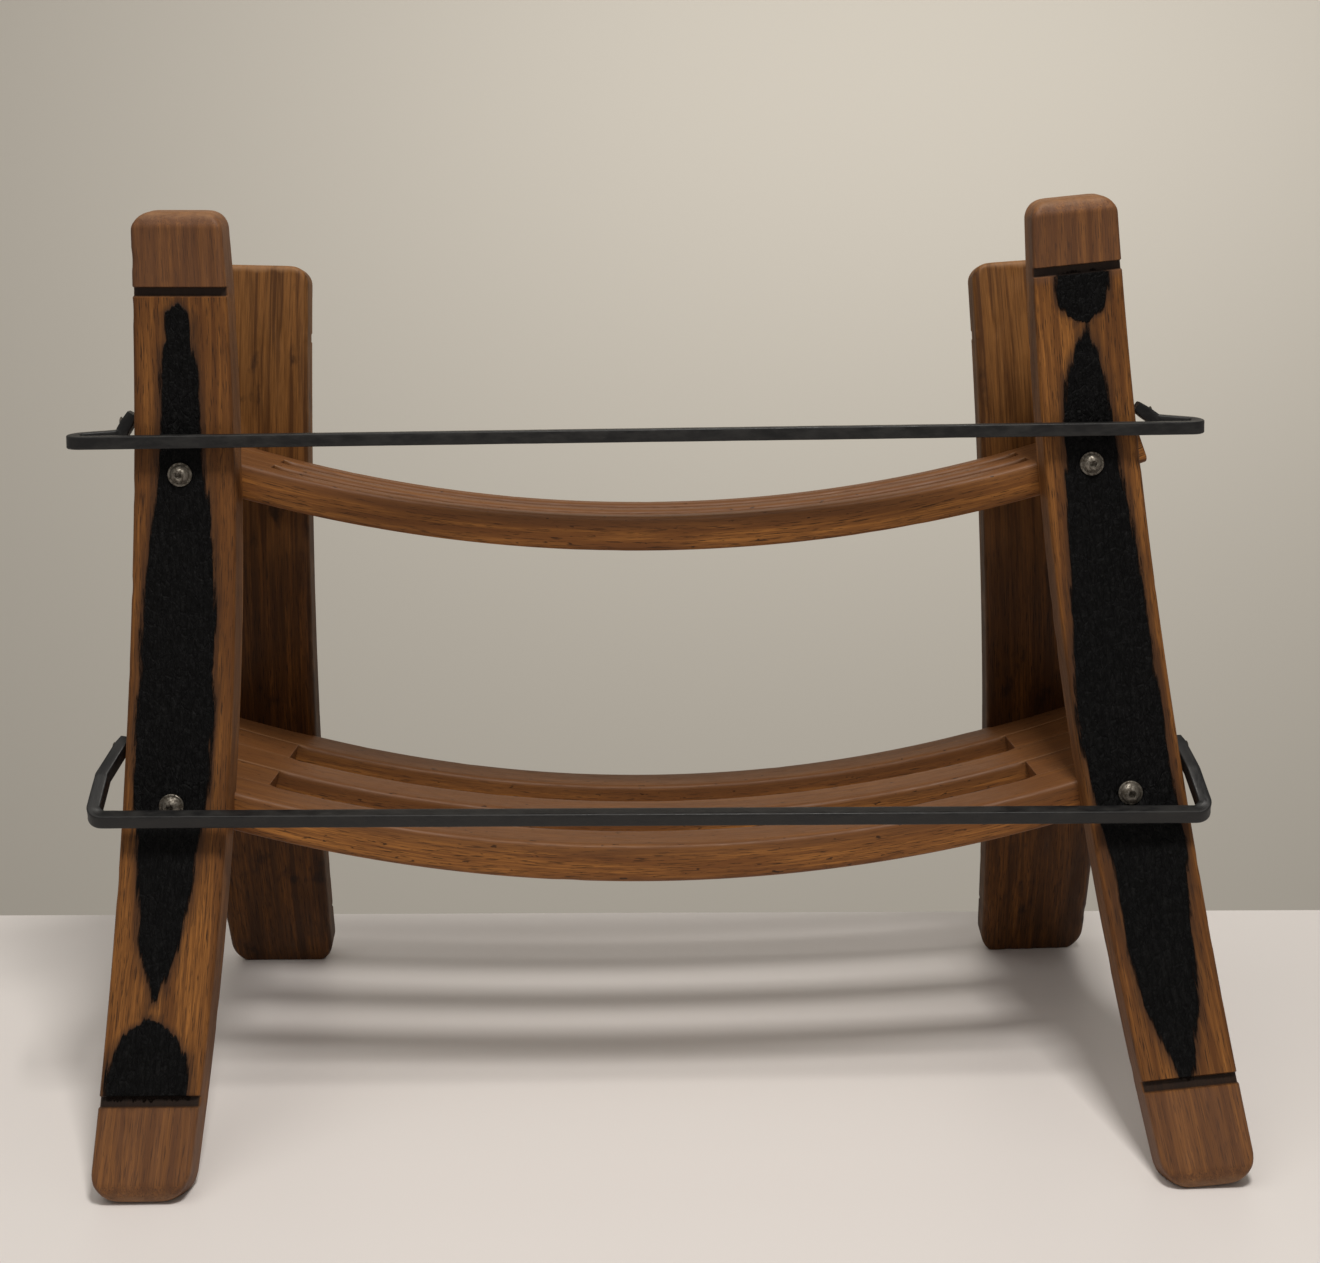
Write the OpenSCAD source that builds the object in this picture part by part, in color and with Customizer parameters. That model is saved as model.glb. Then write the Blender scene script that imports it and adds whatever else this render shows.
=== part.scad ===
// Log rack made from barrel staves: four splayed stave legs, two curved slatted shelves and two
// square-bar rails across the front legs. The front is -Y, the rack stands on z = 0, and the
// origin is at the middle of its footprint.

/* [Staves] */
// Length of the front left leg along its curve
front_left_len = 704; // [698:1:710]
// Length of the front right leg along its curve
front_right_len = 713; // [708:1:718]
// Length of a rear leg along its curve
rear_leg_len = 661; // [654:1:668]
// Radius of the barrel curve at the middle of the stave's thickness
stave_r = 1075; // [1065:5:1085]
// Thickness of a leg
leg_t = 27; // [25:0.5:28]
// Radius of the corners at each end of a leg
leg_corner_r = 13; // [8:1:18]
// Middle width of the front left leg
front_left_w = 78; // [74:1:80]
// Middle width of the front right leg
front_right_w = 75; // [70:1:77]
// Middle width of the rear left leg
rear_left_w = 98; // [90:1:104]
// Middle width of the rear right leg
rear_right_w = 100; // [90:1:104]
// Width at the ends of a front leg as a share of its middle width
front_taper = 0.85; // [0.8:0.01:0.88]
// Width at the ends of a rear leg as a share of its middle width
rear_taper = 0.93; // [0.85:0.01:0.98]
// Distance of the front left leg's upper croze groove from its top
front_left_croze_top = 59; // [50:1:66]
// Distance of the front right leg's upper croze groove from its top
front_right_croze_top = 53; // [50:1:66]
// Distance of the front left leg's lower croze groove from its foot
front_left_croze_foot = 62; // [56:1:68]
// Distance of the front right leg's lower croze groove from its foot
front_right_croze_foot = 65; // [56:1:68]
// Distance of the rear legs' croze grooves from each end
rear_croze = 58; // [50:1:66]
// Height of the croze groove
croze_h = 7; // [5:0.5:9]
// Depth of the croze groove
croze_depth = 4; // [2:0.5:6]
// Length of the chime bevel on the croze face at each end of a leg
chime_h = 10; // [6:1:14]
// Depth of the chime bevel at each end of a leg
chime_depth = 6; // [4:0.5:8]

/* [Stance] */
// Backward tilt of the front legs, in degrees
front_tilt = 11; // [10.75:0.25:11.25]
// Forward tilt of the rear legs, in degrees
rear_tilt = 10.75; // [10.5:0.25:11]
// X of the middle of the front left leg
front_left_x = -341; // [-343:0.5:-340]
// X of the middle of the front right leg
front_right_x = 357; // [355:0.5:358]
// X of the middle of the rear left leg
rear_left_x = -324; // [-328:0.5:-320]
// X of the middle of the rear right leg
rear_right_x = 342.5; // [338:0.5:346]
// Outward lean of the front left leg towards the foot, in degrees
front_left_lean = 0.5; // [0:0.1:1]
// Outward lean of the front right leg towards the foot, in degrees
front_right_lean = 5.4; // [5:0.1:6]
// Outward lean of the rear left leg towards the foot, in degrees
rear_left_lean = 1.7; // [1:0.1:3]
// Outward lean of the rear right leg towards the foot, in degrees
rear_right_lean = 3.6; // [2:0.1:5]
// Height of stave cut away to give each foot its flat
foot_trim = 7; // [5:0.5:8]

/* [Shelves] */
// Height of the middle of the upper slats at mid-span
upper_shelf_z = 429.5; // [428:0.5:431]
// Height of the middle of the lower slats at mid-span
lower_shelf_z = 187; // [185:0.5:189]
// Width of an upper slat
upper_slat_w = 18; // [16:0.5:20]
// Width of a lower slat
lower_slat_w = 33; // [30:0.5:36]
// Thickness of an upper slat
upper_slat_t = 27; // [25:0.5:28]
// Thickness of a lower slat
lower_slat_t = 29; // [27:0.5:30]
// Radius of the slats' curve at the middle of their thickness
slat_r = 1137; // [1120:1:1150]
// X of the middle of both shelves
shelf_x = 10; // [9:0.5:11]
// Half of a slat's length across the rack
slat_reach = 379; // [377:1:383]
// Half of the open length of the slots
slot_reach = 299; // [290:1:302]
// Radius along the long edges of a slat
slat_edge_r = 4; // [2:0.5:6]

/* [Rails] */
// Side of the square bar
bar_w = 10; // [9:0.5:10]
// Radius of the bar's bends at the middle of the bar
bend_r = 8; // [7:0.5:9]
// Diameter of the screws that hold the rails
rail_screw_d = 4; // [3:0.5:5]
// Length of the rail screws
rail_screw_len = 30; // [25:1:35]

/* [Fasteners] */
// Diameter of the through-bolts
bolt_d = 8; // [7:0.5:8]
// Play of a bolt in its holes, on the diameter
bolt_play = 0.6; // [0.4:0.1:0.8]
// Diameter of the bolt heads
head_d = 15; // [14:0.5:16]
// Height of the domed bolt heads
head_h = 5; // [4:0.5:6]
// Diameter of the washers
washer_d = 18; // [17:0.5:19]
// Thickness of the washers
washer_t = 1.6; // [1.2:0.2:2]
// Width of the nuts across their corners
nut_d = 15; // [14:0.5:15.5]
// Height of the nuts
nut_h = 6.5; // [6:0.5:7]

/* [Hidden] */
$fn = 96;
UPPER = 0;
LOWER = 1;
LEFT = 0;
RIGHT = 1;

honey_oak = [0.56, 0.34, 0.17];
dark_oak = [0.38, 0.24, 0.14];
slat_oak = [0.6, 0.37, 0.2];
spacer_oak = [0.52, 0.31, 0.17];
black_iron = [0.09, 0.09, 0.1];
steel = [0.5, 0.49, 0.47];

// Sizes of the legs, left then right
front_leg_len = [front_left_len, front_right_len];
front_leg_w = [front_left_w, front_right_w];
rear_leg_w = [rear_left_w, rear_right_w];
front_croze_top = [front_left_croze_top, front_right_croze_top];
front_croze_foot = [front_left_croze_foot, front_right_croze_foot];
front_leg_x = [front_left_x, front_right_x];
rear_leg_x = [rear_left_x, rear_right_x];
front_lean = [front_left_lean, front_right_lean];
rear_lean = [rear_left_lean, rear_right_lean];
// Y of the middle of the front and rear legs at mid-length
front_leg_y = -64.7;
rear_leg_y = 79.4;

// Sizes of the shelves, upper then lower, with the Y of their front and rear faces
shelf_z = [upper_shelf_z, lower_shelf_z];
slat_w = [upper_slat_w, lower_slat_w];
slat_t = [upper_slat_t, lower_slat_t];
shelf_front_y = [-33.7, -77.7];
shelf_rear_y = [49.3, 86.3];

// X of the bolts and their height above the middle of the slats, left then right
upper_bolt_x = [-342, 341];
lower_bolt_x = [-344, 361];
upper_bolt_rise = [-2.5, 5.5];
lower_bolt_rise = [0, 1.5];
// Y of the flats under the head washers and the nut washers, upper then lower shelf
head_seat_y = [-59.2, -96.6];
nut_seat_y = [73.8, 105.6];
// Width of a bolt head's socket as a share of the head
socket_share = 0.36;
// How far a bolt's tip stands out of its nut
bolt_tip = 3;

// A rail's middle line, left to right: leg, bend behind the corner, corner, and back again
rail_path = [
  [[-385, -40.7, 521], [-391.5, -40.7, 510], [-452.5, -66, 507.7],
    [446, -66, 511.2], [396, -40.7, 514], [385.4, -40.7, 521.5]],
  [[-387.8, -71, 279.5], [-395, -92.2, 263.5], [-395.6, -115, 240.5],
    [411.5, -115, 233.5], [408.5, -92.2, 258], [406.5, -70, 270]]
];
// Direction of the bar's upper face, upper then lower rail
rail_up = [[0, 0, 1], [0, -0.2, 1]];
// How far the bar runs past the screw at each end
rail_end = 7;
bend_steps = 8;
// Play of a rail screw in the bar, on the diameter
rail_screw_play = 0.2;

// Depths that reach well past any leg, and past the faces of smaller parts, for cutters
past = 60;
spare = 1;
// Side of the block that stands for everything above the floor
room = 1000;
// How far an outline's sides run past the ends of its stave, and its number of steps each way
outline_past = 12;
outline_steps = 16;
// Degrees between the points of a corner's arc
corner_step = 15;
// Keeps a corner's arc from ending exactly on the side or the end that it runs into
corner_play = 0.05;
// Faces of the curved parts round a full turn
curve_faces = 720;
// Room round the washers in their flats, and above and below the slats in their housings
washer_play = 0.8;
seat_play = 0.2;

// Angle from a stave's middle to a point this far along its curve
function turn(along) = along / stave_r * 180 / PI;

// Half of the upright span of a stave, on its outer face
function half_span(len) = (stave_r + leg_t / 2) * sin(turn(len / 2));

// Half width of a stave at height z above its middle: fullest there, like a barrel's bilge
function half_width(z, w, taper, h) = w / 2 * (1 - (1 - taper) * pow(z / h, 2));

// Outline of a stave seen from the front, its sides carried past the ends
function outline(w, taper, h) =
  let (right = [for (i = [-outline_steps : outline_steps])
    let (z = (h + outline_past) * i / outline_steps) [half_width(z, w, taper, h), z]])
  concat(right, [for (i = [len(right) - 1 : -1 : 0]) [-right[i][0], right[i][1]]]);

// Height of the middle of a leg above the floor
function leg_mid_z(len, tilt, lean) =
  let (drop = half_span(len), bow = stave_r - (stave_r + leg_t / 2) * cos(turn(len / 2)))
  cos(lean) * (drop * cos(tilt) - bow * sin(tilt)) - foot_trim;

// Height of a shelf's slats at this X
function slat_z(shelf, x) =
  shelf_z[shelf] + slat_r - sqrt(pow(slat_r, 2) - pow(x - shelf_x, 2));

function bolt_x(shelf, side) = shelf == UPPER ? upper_bolt_x[side] : lower_bolt_x[side];
function bolt_rise(shelf, side) = shelf == UPPER ? upper_bolt_rise[side] : lower_bolt_rise[side];
function bolt_z(shelf, side) = slat_z(shelf, bolt_x(shelf, side)) + bolt_rise(shelf, side);
function slot_w(shelf) = (shelf_rear_y[shelf] - shelf_front_y[shelf] - 3 * slat_w[shelf]) / 2;
// Y of the front face of slat 0, 1 or 2
function slat_y(shelf, i) = shelf_front_y[shelf] + i * (slat_w[shelf] + slot_w(shelf));

// Moves a shape to a point this far along a stave's curve, on its croze face, with +Y into the wood
module on_croze_face(along) {
  translate([0, -stave_r, 0])
    rotate([turn(along), 0, 0])
      translate([0, stave_r - leg_t / 2, 0]) children();
}

// Cuts both corners and the croze edge at the upper end of a stave
module end_cuts(len, corner_x) {
  on_croze_face(len / 2) {
    for (side = [0, 1])
      mirror([side, 0, 0])
        translate([corner_x, -past / 2, corner_play - leg_corner_r])
          rotate([-90, 0, 0])
            linear_extrude(height = 2 * past) corner_cut();
    translate([0, 0, -chime_h])
      rotate([-atan2(chime_depth, chime_h), 0, 0])
        translate([-2 * corner_x, -past, 0]) cube([4 * corner_x, past, past]);
  }
}

// What rounding removes from a square corner, with the arc's centre at the origin
module corner_cut() {
  arc = [for (a = [0 : corner_step : 90]) leg_corner_r * [cos(a), -sin(a)]];
  polygon(concat(arc, 2 * leg_corner_r * [[0, -1], [1, -1], [1, 0]]));
}

// Upright stave bowed towards +Y, its middle at the origin and its croze face towards -Y
module stave(len, w, taper, croze_top, croze_foot) {
  h = half_span(len);
  corner_x = half_width(h - leg_corner_r, w, taper, h) - leg_corner_r + corner_play;
  difference() {
    intersection() {
      translate([0, -stave_r, 0])
        rotate([0, 90, 0])
          rotate_extrude(angle = 2 * turn(len / 2), start = 90 - turn(len / 2), $fn = curve_faces)
            translate([stave_r, 0]) square([leg_t, w + 2 * spare], center = true);
      rotate([90, 0, 0])
        linear_extrude(height = 4 * past, center = true) polygon(outline(w, taper, h));
    }
    for (end = [0, 1]) mirror([0, 0, end]) end_cuts(len, corner_x);
    for (along = [len / 2 - croze_top, croze_foot - len / 2])
      on_croze_face(along) cube([w + 2 * spare, 2 * croze_depth, croze_h], center = true);
  }
}

// Solid that follows a shelf's curve between two X and two Y
module shelf_arc(shelf, x_from, x_to, y_from, y_to, grow = 0, edge_r = 0) {
  a_from = asin((x_from - shelf_x) / slat_r);
  a_to = asin((x_to - shelf_x) / slat_r);
  translate([shelf_x, 0, shelf_z[shelf] + slat_r])
    rotate([-90, 0, 0])
      rotate_extrude(angle = a_to - a_from, start = 90 - a_to, $fn = curve_faces)
        translate([slat_r, (y_from + y_to) / 2])
          rounded_rect(slat_t[shelf] + 2 * grow, y_to - y_from, edge_r);
}

module rounded_rect(w, h, r) {
  if (r == 0) {
    square([w, h], center = true);
  } else {
    square([w - 2 * r, h], center = true);
    square([w, h - 2 * r], center = true);
    for (x = [-1, 1], y = [-1, 1])
      translate([x * (w / 2 - r), y * (h / 2 - r)]) circle(r, $fn = 32);
  }
}

// Cylinder along +Y from y_from to y_to
module rod(x, z, y_from, y_to, d) {
  translate([x, y_from, z]) rotate([-90, 0, 0]) cylinder(h = y_to - y_from, d = d);
}

module bolt_hole(shelf, side) {
  rod(bolt_x(shelf, side), bolt_z(shelf, side), -4 * past, 4 * past, bolt_d + bolt_play);
}

// Everything above the floor
module above_floor() {
  translate([-room / 2, -room / 2, 0]) cube(room);
}

// Front leg with its bolt holes, its washer flats and the housings that seat the shelves
module front_leg(side) {
  difference() {
    intersection() {
      translate([front_leg_x[side], front_leg_y,
        leg_mid_z(front_leg_len[side], front_tilt, front_lean[side])])
        rotate([0, (side == LEFT ? 1 : -1) * front_lean[side], 0])
          rotate([-front_tilt, 0, 0])
            stave(front_leg_len[side], front_leg_w[side], front_taper,
              front_croze_top[side], front_croze_foot[side]);
      above_floor();
    }
    for (shelf = [UPPER, LOWER]) {
      bolt_hole(shelf, side);
      rod(bolt_x(shelf, side), bolt_z(shelf, side), head_seat_y[shelf] - past, head_seat_y[shelf],
        washer_d + washer_play);
      shelf_arc(shelf, shelf_x - slat_reach - past, shelf_x + slat_reach + past,
        shelf_front_y[shelf], shelf_front_y[shelf] + past, grow = seat_play);
    }
    for (rail = [UPPER, LOWER]) rail_screw(rail, side, 0);
  }
}

// Rear leg, its croze face to the back, with its bolt holes, nut washer flats and housings
module rear_leg(side) {
  difference() {
    intersection() {
      translate([rear_leg_x[side], rear_leg_y, leg_mid_z(rear_leg_len, rear_tilt, rear_lean[side])])
        rotate([0, (side == LEFT ? 1 : -1) * rear_lean[side], 0])
          rotate([rear_tilt, 0, 0])
            mirror([0, 1, 0])
              stave(rear_leg_len, rear_leg_w[side], rear_taper, rear_croze, rear_croze);
      above_floor();
    }
    for (shelf = [UPPER, LOWER]) {
      bolt_hole(shelf, side);
      rod(bolt_x(shelf, side), bolt_z(shelf, side), nut_seat_y[shelf], nut_seat_y[shelf] + past,
        washer_d + washer_play);
      shelf_arc(shelf, shelf_x - slat_reach - past, shelf_x + slat_reach + past,
        shelf_rear_y[shelf] - past, shelf_rear_y[shelf], grow = seat_play);
    }
  }
}

// Slat 0, 1 or 2 of a shelf, counted from the front
module slat(shelf, i) {
  difference() {
    shelf_arc(shelf, shelf_x - slat_reach, shelf_x + slat_reach,
      slat_y(shelf, i), slat_y(shelf, i) + slat_w[shelf], edge_r = slat_edge_r);
    for (side = [LEFT, RIGHT]) bolt_hole(shelf, side);
  }
}

// Block that fills the slot behind slat i, from the slot's end out to the slats' ends
module spacer(shelf, side, i) {
  y_front = slat_y(shelf, i) + slat_w[shelf];
  x_from = side == LEFT ? -slat_reach : slot_reach;
  x_to = side == LEFT ? -slot_reach : slat_reach;
  difference() {
    shelf_arc(shelf, shelf_x + x_from, shelf_x + x_to, y_front, y_front + slot_w(shelf));
    bolt_hole(shelf, side);
  }
}

function unit(v) = v / norm(v);

// Points of the arc that rounds the corner b of the line a, b, c
function bend(a, b, c) =
  let (
    to_a = unit(a - b), to_c = unit(c - b), half = acos(to_a * to_c) / 2,
    centre = b + unit(to_a + to_c) * bend_r / sin(half),
    from = unit(b + to_a * bend_r / tan(half) - centre),
    to = unit(b + to_c * bend_r / tan(half) - centre),
    turn = acos(from * to)
  )
  [for (i = [0 : bend_steps])
    let (share = i / bend_steps)
    centre + bend_r * (sin(turn * (1 - share)) * from + sin(turn * share) * to) / sin(turn)];

// The rail's line with its ends carried past the screws and its corners rounded
function rail_line(path) =
  let (last = len(path) - 1)
  concat(
    [path[0] + rail_end * unit(path[0] - path[1])],
    [for (i = [1 : last - 1]) each bend(path[i - 1], path[i], path[i + 1])],
    [path[last] + rail_end * unit(path[last] - path[last - 1])]
  );

// Square bar swept along a line, with one face kept towards up
module square_bar(line, up) {
  last = len(line) - 1;
  corners = [[-1, -1], [1, -1], [1, 1], [-1, 1]];
  points = [for (i = [0 : last])
    let (
      ahead = unit(line[min(i + 1, last)] - line[max(i - 1, 0)]),
      side = unit(cross(ahead, up)),
      top = cross(side, ahead)
    )
    each [for (c = corners) line[i] + bar_w / 2 * (c[0] * side + c[1] * top)]];
  skin = [for (i = [0 : last - 1], c = [0 : 3])
    [4 * i + c, 4 * i + (c + 1) % 4, 4 * i + 4 + (c + 1) % 4, 4 * i + 4 + c]];
  polyhedron(points, concat([[3, 2, 1, 0]], skin, [[4 * last, 4 * last + 1, 4 * last + 2, 4 * last + 3]]));
}

// Countersunk screw through a rail's end into the outer edge of a front leg
module rail_screw(rail, side, play) {
  path = rail_path[rail];
  at = side == LEFT ? path[0] : path[len(path) - 1];
  sink = rail_screw_d / 2;
  translate(at)
    rotate([0, side == LEFT ? 90 : -90, 0])
      translate([0, 0, -bar_w / 2 - spare]) {
        cylinder(h = rail_screw_len, d = rail_screw_d + play);
        cylinder(h = sink, d1 = 2 * rail_screw_d + play, d2 = rail_screw_d + play);
      }
}

module rail(which) {
  difference() {
    square_bar(rail_line(rail_path[which]), rail_up[which]);
    for (side = [LEFT, RIGHT]) rail_screw(which, side, rail_screw_play);
  }
}

module washer(x, z, y_from, y_to) {
  difference() {
    rod(x, z, y_from, y_to, washer_d);
    rod(x, z, y_from - spare, y_to + spare, bolt_d + bolt_play);
  }
}

// Domed socket-head bolt from the front washer to just past the nut
module bolt(shelf, side) {
  x = bolt_x(shelf, side);
  z = bolt_z(shelf, side);
  under_head = head_seat_y[shelf] - washer_t;
  tip = nut_seat_y[shelf] + washer_t + nut_h + bolt_tip;
  dome_r = (pow(head_d / 2, 2) + pow(head_h, 2)) / 2 / head_h;
  rod(x, z, under_head - spare, tip, bolt_d);
  difference() {
    intersection() {
      translate([x, under_head - head_h + dome_r, z]) sphere(dome_r);
      rod(x, z, under_head - head_h - spare, under_head, head_d);
    }
    rod(x, z, under_head - head_h - spare, under_head - head_h / 2, head_d * socket_share, $fn = 6);
  }
}

module nut(shelf, side) {
  x = bolt_x(shelf, side);
  z = bolt_z(shelf, side);
  y = nut_seat_y[shelf] + washer_t;
  difference() {
    translate([x, y, z]) rotate([-90, 0, 0]) cylinder(h = nut_h, d = nut_d, $fn = 6);
    rod(x, z, y - spare, y + nut_h + spare, bolt_d);
  }
}

module front_left_leg() { color(honey_oak) front_leg(LEFT); }
module front_right_leg() { color(honey_oak) front_leg(RIGHT); }
module rear_left_leg() { color(dark_oak) rear_leg(LEFT); }
module rear_right_leg() { color(dark_oak) rear_leg(RIGHT); }
module upper_front_slat() { color(slat_oak) slat(UPPER, 0); }
module upper_middle_slat() { color(slat_oak) slat(UPPER, 1); }
module upper_rear_slat() { color(slat_oak) slat(UPPER, 2); }
module lower_front_slat() { color(slat_oak) slat(LOWER, 0); }
module lower_middle_slat() { color(slat_oak) slat(LOWER, 1); }
module lower_rear_slat() { color(slat_oak) slat(LOWER, 2); }
module upper_left_front_spacer() { color(spacer_oak) spacer(UPPER, LEFT, 0); }
module upper_left_rear_spacer() { color(spacer_oak) spacer(UPPER, LEFT, 1); }
module upper_right_front_spacer() { color(spacer_oak) spacer(UPPER, RIGHT, 0); }
module upper_right_rear_spacer() { color(spacer_oak) spacer(UPPER, RIGHT, 1); }
module lower_left_front_spacer() { color(spacer_oak) spacer(LOWER, LEFT, 0); }
module lower_left_rear_spacer() { color(spacer_oak) spacer(LOWER, LEFT, 1); }
module lower_right_front_spacer() { color(spacer_oak) spacer(LOWER, RIGHT, 0); }
module lower_right_rear_spacer() { color(spacer_oak) spacer(LOWER, RIGHT, 1); }
module upper_rail() { color(black_iron) rail(UPPER); }
module lower_rail() { color(black_iron) rail(LOWER); }
module rail_screws() {
  color(steel) for (rail = [UPPER, LOWER], side = [LEFT, RIGHT]) rail_screw(rail, side, 0);
}
module upper_bolts() { color(steel) for (side = [LEFT, RIGHT]) bolt(UPPER, side); }
module lower_bolts() { color(steel) for (side = [LEFT, RIGHT]) bolt(LOWER, side); }
module head_washers() {
  color(steel) for (shelf = [UPPER, LOWER], side = [LEFT, RIGHT])
    washer(bolt_x(shelf, side), bolt_z(shelf, side), head_seat_y[shelf] - washer_t, head_seat_y[shelf]);
}
module nut_washers() {
  color(steel) for (shelf = [UPPER, LOWER], side = [LEFT, RIGHT])
    washer(bolt_x(shelf, side), bolt_z(shelf, side), nut_seat_y[shelf], nut_seat_y[shelf] + washer_t);
}
module nuts() { color(steel) for (shelf = [UPPER, LOWER], side = [LEFT, RIGHT]) nut(shelf, side); }

front_left_leg();
front_right_leg();
rear_left_leg();
rear_right_leg();
upper_front_slat();
upper_middle_slat();
upper_rear_slat();
lower_front_slat();
lower_middle_slat();
lower_rear_slat();
upper_left_front_spacer();
upper_left_rear_spacer();
upper_right_front_spacer();
upper_right_rear_spacer();
lower_left_front_spacer();
lower_left_rear_spacer();
lower_right_front_spacer();
lower_right_rear_spacer();
upper_rail();
lower_rail();
rail_screws();
upper_bolts();
lower_bolts();
head_washers();
nut_washers();
nuts();
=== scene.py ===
"""Log rack made from barrel staves: worn and charred legs, curved slatted shelves, black square bars.

Shapes are worked out in millimetres and handed to Blender in metres. Every piece takes its place from the
CAD frame, and carries "grain" coordinates (across, through, along the wood), so that its material follows
its shape.
"""
import math
from typing import NamedTuple

import bmesh
import bpy
import numpy as np
from mathutils import Matrix, Vector, noise


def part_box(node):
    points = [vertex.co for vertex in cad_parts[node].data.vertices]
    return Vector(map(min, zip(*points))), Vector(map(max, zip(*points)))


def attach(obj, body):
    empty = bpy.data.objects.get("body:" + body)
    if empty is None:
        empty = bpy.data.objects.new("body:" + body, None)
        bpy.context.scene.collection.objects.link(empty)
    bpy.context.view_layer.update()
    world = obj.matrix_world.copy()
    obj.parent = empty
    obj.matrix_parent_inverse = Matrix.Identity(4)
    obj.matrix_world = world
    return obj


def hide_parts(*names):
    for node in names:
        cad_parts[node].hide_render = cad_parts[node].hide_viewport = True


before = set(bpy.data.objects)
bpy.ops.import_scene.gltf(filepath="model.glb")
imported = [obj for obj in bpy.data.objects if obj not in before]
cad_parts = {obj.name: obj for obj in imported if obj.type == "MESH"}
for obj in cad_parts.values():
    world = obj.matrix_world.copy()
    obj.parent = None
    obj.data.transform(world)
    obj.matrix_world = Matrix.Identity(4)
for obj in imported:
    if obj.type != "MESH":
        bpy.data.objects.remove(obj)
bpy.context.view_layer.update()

MM = 0.001
NOISE_STEP = 17.3

# How far apart in metres the grain patterns of two pieces lie, so that no two look alike
STAVE_GRAIN_STEP = 1.7
SLAT_GRAIN_STEP = 1.3
SPACER_GRAIN_STEP = 1.1
FASTENER_GRAIN_STEP = 0.31

# Staves: the barrel's curve, its grooves and bevels, and how the edges are rounded
STAVE_R = 1075
STAVE_T = 27
TOP_CORNER_R = 14
FRONT_FOOT_CORNER_R = 19
REAR_FOOT_CORNER_R = 25
END_R = 4.5
FRONT_EDGE_R = 4
REAR_EDGE_R = 6.5
CHIME_H = 10
CHIME_DEPTH = 6
CROZE_H = 7
CROZE_DEPTH = 3.6
FRONT_TILT = 11
REAR_TILT = 10.75
WASHER_SEAT_R = 9.8
RED_END_H = 64
RED_END_FADE = 6
RIM_FADE = 12
# Rear legs: where the painted light on the upper part begins and how far it fades in; the darker wood below
# stands in for the shade under the upper shelf
LIT_UPPER_FROM = 40
LIT_UPPER_FADE = 150
STAVE_STEP = 2.2
STAVE_END_STEPS = (0, 0.3, 0.8, 1.5, 2.4, 3.4, 4.6, 6, 8, 10, 12, 14, 17, 20, 23, 26)

# Wear as shares of a ring's size: across, through, and in the dents
STAVE_WEAR = (0.012, 0.02, 0.05)
SLAT_WEAR = (0.012, 0.025, 0.02)

# Shelves
SLAT_R = 1137
SLAT_EDGE_R = 4
SEAM_EDGE_R = 0.6
SLAT_END_R = 2.5
SLOT_REACH = 299
SEAM_FADE = 10
SLAT_STEP = 3
SLAT_END_STEPS = (0, 0.2, 0.6, 1.2, 2, 3, 4.5)
SPACER_STEP = 4
SPACER_END_STEPS = (0, 0.15, 0.4, 0.8, 1.4)
SPACER_PLAY = 0.15

# Rails and fasteners
BAR_W = 10
BAR_EDGE_R = 1.1
BEND_R = 8
RAIL_END = 7
RAIL_END_BEVEL = 0.8
RAIL_STEP = 6
BOLT_D = 8
HEAD_H = 5
HEAD_D = 15
HEAD_RIM = 0.6
SOCKET_FLATS = 5
SOCKET_DEPTH = 2.8
THREAD_PITCH = 1.25
THREAD_DEPTH = 0.62
THREAD_LEN = 16
THREAD_RUNOUT = 0.8
THREAD_STEP = 0.25
SHANK_PLAY = 0.05
WASHER_PLAY = 0.3
WASHER_SOFT = 0.25
NUT_ACROSS = 15
NUT_BITE = 0.4
NUT_BEVEL = 0.9
HOLE_BEVEL = 0.6
SCREW_D = 4
SCREW_TIP = 4

# Degrees that each fastener is turned on from the one before it
BOLT_SPIN = 23
WASHER_SPIN = 11
NUT_SPIN = 0


class Char(NamedTuple):
    """A burnt patch: stations along the stave with the patch's left and right edges there."""
    stations: tuple


class Stave(NamedTuple):
    node: str
    slot: str
    length: float
    width: float
    taper: float
    tilt: float
    lean: float
    croze_top: float
    croze_foot: float
    patches: tuple
    seed: int

    @property
    def is_front(self):
        return self.node.startswith("front")


FRONT_LEFT_CHAR = (
    Char(((-226, -4, -2), (-215, -8, 2), (-191, -16, 10), (-142, -22, 18), (-114, -25, 20), (-72, -30, 25),
          (-13, -31, 25), (61, -29, 24), (121, -24, 21), (150, -20, 17), (172, -18, 14), (204, -17, 13),
          (232, -16, 12), (250, -13, 9), (258, -9, 7), (268, -11, 8), (277, -10, 6), (284, -4, 1))),
    Char(((-288, -30, 27), (-272, -31, 26), (-260, -29, 22), (-250, -24, 15), (-243, -17, 8),
          (-238, -8, 0))),
)
FRONT_RIGHT_CHAR = (
    Char(((-288, -6, 2), (-268, -13, 8), (-239, -23, 16), (-184, -26, 23), (-128, -27, 30), (-55, -36, 28),
          (12, -33, 27), (80, -25, 27), (149, -21, 20), (190, -18, 17), (219, -15, 15), (236, -9, 11),
          (250, -2, 7), (262, 2, 4))),
    Char(((264, -2, 6), (269, -10, 13), (277, -15, 18), (288, -17, 21), (300, -16, 21))),
)
NO_CHAR = ()

STAVES = (
    Stave("front_left_leg", "front_stave_oak", 704, 78, 0.85, FRONT_TILT, 0.5, 59, 62,
          FRONT_LEFT_CHAR, 1),
    Stave("front_right_leg", "front_stave_oak", 713, 75, 0.85, FRONT_TILT, -5.4, 53, 65,
          FRONT_RIGHT_CHAR, 2),
    Stave("rear_left_leg", "rear_stave_oak", 661, 98, 0.93, REAR_TILT, 1.7, 58, 58, NO_CHAR, 3),
    Stave("rear_right_leg", "rear_stave_oak", 661, 100, 0.93, REAR_TILT, -3.6, 58, 58, NO_CHAR, 4),
)

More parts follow.
